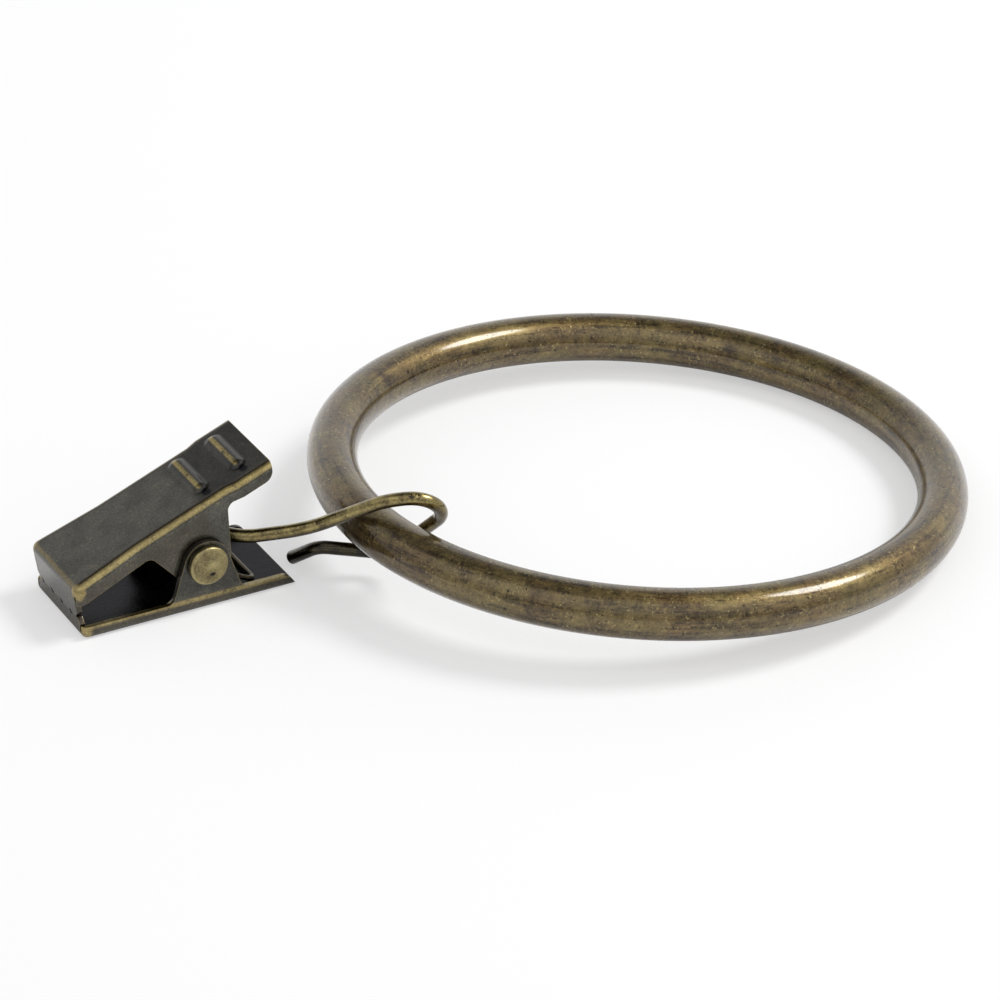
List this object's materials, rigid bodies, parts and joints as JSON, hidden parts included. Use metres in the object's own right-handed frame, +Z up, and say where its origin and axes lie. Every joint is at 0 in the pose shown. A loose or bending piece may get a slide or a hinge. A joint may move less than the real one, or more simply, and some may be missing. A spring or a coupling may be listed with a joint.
{
  "type": "curtain ring with clip",
  "caption": "Round bar curtain ring in antique brass with a bent wire hook that carries a sprung, toothed sheet-metal clip for gripping fabric.",
  "frame": {"origin": "centre of the bounding box on the floor, with the part lying as it comes to rest", "axes": "+X from the clip's nose to the far side of the ring, +Y along the ring's bar at the hook, +Z up from the floor"},
  "size_m": [0.0824, 0.059, 0.0124],
  "materials": {
    "ring_brass": "antique brass, satin, mottled and lightly scratched",
    "hook_brass": "antique brass wire, bright on top, dark in the bends",
    "jaw_sheet": "dark antique plating, rubbed to brass on bends and edges",
    "rivet_brass": "worn antique brass",
    "spring_steel": "dark wire"
  },
  "bodies": {
    "ring": {"ring": "ring_brass"},
    "hook": {"wire_hook": "hook_brass"},
    "clip": {"lower_jaw": "jaw_sheet", "pivot_rivet": "rivet_brass", "torsion_spring": "spring_steel"},
    "jaw": {"upper_jaw": "jaw_sheet"}
  },
  "joints": [
    {"name": "hook_swing", "type": "hinge", "parent": "ring", "child": "hook", "pos_m": [-0.01544, 0, 0.00627], "axis": [0, 1, 0], "range_deg": [-80, 100]},
    {"name": "clip_pivot", "type": "hinge", "parent": "hook", "child": "clip", "pos_m": [-0.02867, 0.01089, 0.0044], "axis": [0.0802, 0.9968, 0], "range_deg": [-25, 5]},
    {"name": "jaw_open", "type": "hinge", "parent": "clip", "child": "jaw", "pos_m": [-0.02867, 0.01089, 0.0044], "axis": [0.0802, 0.9968, 0], "range_deg": [0, 26], "stiffness_Nm_per_rad": 0.02, "springref_deg": -34.38, "deforming": ["torsion_spring"]}
  ]
}
